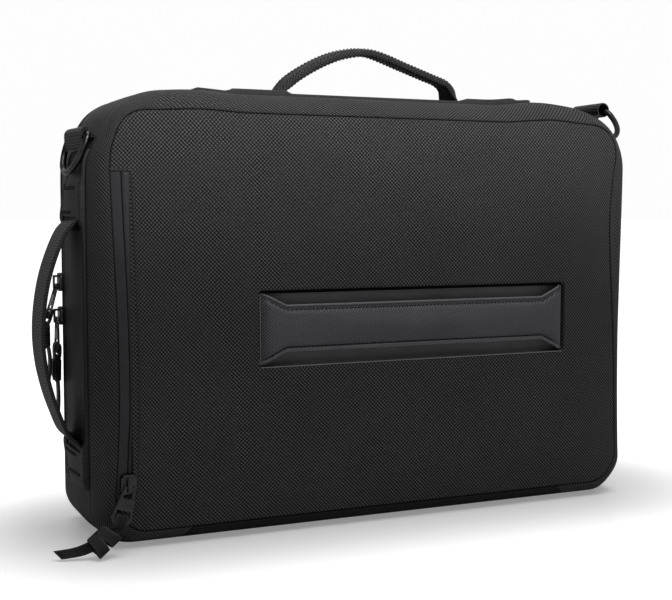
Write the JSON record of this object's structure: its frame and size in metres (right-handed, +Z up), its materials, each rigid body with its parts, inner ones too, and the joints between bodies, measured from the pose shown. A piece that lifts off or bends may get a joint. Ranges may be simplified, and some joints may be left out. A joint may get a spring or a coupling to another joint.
{
  "type": "convertible backpack",
  "caption": "Briefcase backpack standing on its long side, with a top handle, a webbing side handle, strap rings, a pass-through strap, zips and leather pulls.",
  "frame": {"origin": "middle of the flat bottom, on the floor", "axes": "+X along the bag to its right end, +Y from its back face to its front, +Z up"},
  "size_m": [0.4761, 0.1362, 0.3461],
  "materials": {
    "weave": "ballistic weave",
    "base_cloth": "coated, smooth",
    "lining": "plain lining",
    "strap_cloth": "fine twill",
    "leather": "matt grain",
    "webbing": "ribbed webbing",
    "zip_tape": "coated tape",
    "metal": "dark gunmetal"
  },
  "bodies": {
    "bag": {"back_panel": "weave", "pass_lining": "lining", "pass_strap": "strap_cloth", "pocket_tape_left": "zip_tape", "pocket_tape_right": "zip_tape", "back_roll": "weave", "base_strip": "base_cloth", "gusset": "weave", "base": "base_cloth", "main_tape_back": "zip_tape", "main_tape_front": "zip_tape", "front_roll": "weave", "front_panel": "weave", "side_patch": "leather", "side_handle": "webbing", "top_patch": "leather", "top_handle": "weave", "left_ring_tab": "webbing", "right_ring_tab": "webbing", "upper_zip_slider": "metal", "upper_zip_puller": "metal", "upper_zip_pull": "leather", "lower_zip_slider": "metal", "lower_zip_puller": "metal", "lower_zip_pull": "leather", "pocket_zip_slider": "metal", "pocket_zip_puller": "metal", "pocket_zip_pull": "leather"},
    "left_ring": {"left_ring": "metal"},
    "right_ring": {"right_ring": "metal"}
  },
  "joints": [
    {"name": "left_ring_swing", "type": "hinge", "parent": "bag", "child": "left_ring", "pos_m": [-0.21078, -0.004, 0.27587], "axis": [-0.0872, 0.9962, 0], "range_deg": [0, 140]},
    {"name": "right_ring_swing", "type": "hinge", "parent": "bag", "child": "right_ring", "pos_m": [0.21098, -0.002, 0.304], "axis": [0, -1, 0], "range_deg": [-40, 100]}
  ]
}
